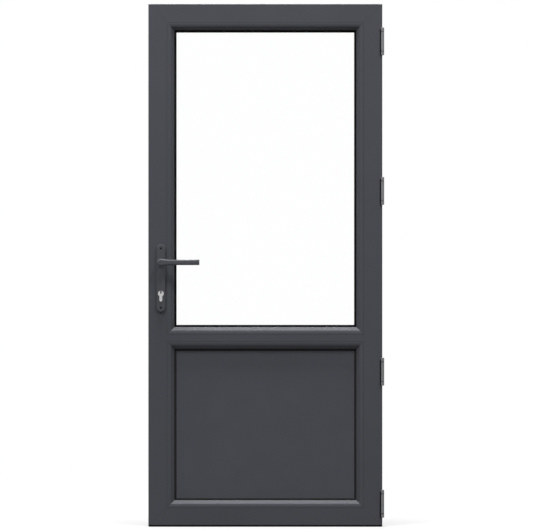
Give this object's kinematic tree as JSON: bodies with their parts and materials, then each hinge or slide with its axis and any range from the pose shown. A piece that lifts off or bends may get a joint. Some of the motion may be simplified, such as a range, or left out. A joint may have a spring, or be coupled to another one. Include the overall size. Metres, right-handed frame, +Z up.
{
  "type": "glass door",
  "caption": "Half-glazed grey service door in a slim steel frame: clear double glazing over a solid panel, lever handles, cylinder lock with sliding bolts, and barrel hinges.",
  "frame": {"origin": "middle of the threshold's underside, between the two jambs", "axes": "+X to the right and +Y away from someone facing the side the leaf opens towards, +Z up"},
  "size_m": [0.902, 0.183, 2],
  "materials": {
    "profile_grey": "anthracite extrusion with a fine satin grain",
    "bead_grey": "anthracite clip-in bead, satin",
    "panel_skin": "anthracite flat panel skin, satin",
    "seal_rubber": "black matt rubber",
    "clear_glass": "clear float glass",
    "spacer_metal": "mill aluminium",
    "frame_paint": "anthracite powder coat",
    "threshold_metal": "dark anodised aluminium",
    "hinge_paint": "grey powder coat, satin",
    "handle_paint": "anthracite powder coat, satin",
    "plain_steel": "zinc-plated steel",
    "stainless": "brushed stainless",
    "dark_screw": "black finished",
    "cylinder_nickel": "brass with a satin nickel plating",
    "bush_plastic": "dark moulded plastic"
  },
  "bodies": {
    "frame": {"frame_lock_jamb": "frame_paint", "frame_hinge_jamb": "frame_paint", "frame_head": "frame_paint", "threshold": "threshold_metal", "frame_stop_seal": "seal_rubber", "lock_keep": "stainless", "keep_screws": "stainless", "top_hinge_strap": "hinge_paint", "upper_hinge_strap": "hinge_paint", "lower_hinge_strap": "hinge_paint", "bottom_hinge_strap": "hinge_paint", "hinge_pins": "plain_steel", "hinge_caps": "hinge_paint"},
    "leaf": {"leaf_lock_stile": "profile_grey", "leaf_hinge_stile": "profile_grey", "leaf_top_rail": "profile_grey", "leaf_bottom_rail": "profile_grey", "leaf_transom": "profile_grey", "lock_stile_steel": "plain_steel", "hinge_stile_steel": "plain_steel", "rail_steels": "plain_steel", "transom_steel": "plain_steel", "leaf_overlap_seal": "seal_rubber", "glass_front_pane": "clear_glass", "glass_back_pane": "clear_glass", "glass_spacer": "spacer_metal", "infill_panel": "panel_skin", "glass_left_bead": "bead_grey", "glass_right_bead": "bead_grey", "glass_top_bead": "bead_grey", "glass_bottom_bead": "bead_grey", "panel_left_bead": "bead_grey", "panel_right_bead": "bead_grey", "panel_top_bead": "bead_grey", "panel_bottom_bead": "bead_grey", "glass_front_gasket": "seal_rubber", "glass_back_gasket": "seal_rubber", "panel_front_gasket": "seal_rubber", "panel_back_gasket": "seal_rubber", "glazing_packers": "bush_plastic", "top_hinge_leaf_plate": "hinge_paint", "upper_hinge_leaf_plate": "hinge_paint", "lower_hinge_leaf_plate": "hinge_paint", "bottom_hinge_leaf_plate": "hinge_paint", "hinge_bushes": "bush_plastic", "leaf_hinge_screws": "stainless", "lock_faceplate": "stainless", "lock_case": "plain_steel", "lock_screws": "stainless", "front_handle_plate": "handle_paint", "back_handle_plate": "handle_paint", "handle_screws": "dark_screw", "cylinder_body": "cylinder_nickel"},
    "levers": {"front_lever": "handle_paint", "back_lever": "handle_paint", "handle_spindle": "plain_steel", "lock_follower": "plain_steel"},
    "latch": {"latch_bolt": "plain_steel"},
    "deadbolt": {"dead_bolt": "plain_steel"},
    "plug": {"cylinder_plug": "cylinder_nickel"}
  },
  "joints": [
    {"name": "door_swing", "type": "hinge", "parent": "frame", "child": "leaf", "pos_m": [0.4485, -0.06429, 1], "axis": [0, 0, 1], "range_deg": [0, 170]},
    {"name": "lever_turn", "type": "hinge", "parent": "leaf", "child": "levers", "pos_m": [-0.3993, -0.0235, 1.0116], "axis": [0, 1, 0], "range_deg": [0, 40], "stiffness_Nm_per_rad": 1.2, "springref_deg": -40.11},
    {"name": "latch_slide", "type": "slide", "parent": "leaf", "child": "latch", "axis": [1, 0, 0], "range_m": [0, 0.0115]},
    {"name": "key_turn", "type": "hinge", "parent": "leaf", "child": "plug", "pos_m": [-0.3993, -0.0235, 0.892], "axis": [0, 1, 0], "range_deg": [0, 360]},
    {"name": "deadbolt_slide", "type": "slide", "parent": "leaf", "child": "deadbolt", "axis": [-1, 0, 0], "range_m": [0, 0.0115]}
  ],
  "couplings": [
    {"joint": "latch_slide", "follows": "lever_turn", "m_per_rad": 0.016472},
    {"joint": "deadbolt_slide", "follows": "key_turn", "m_per_rad": 0.00183}
  ]
}
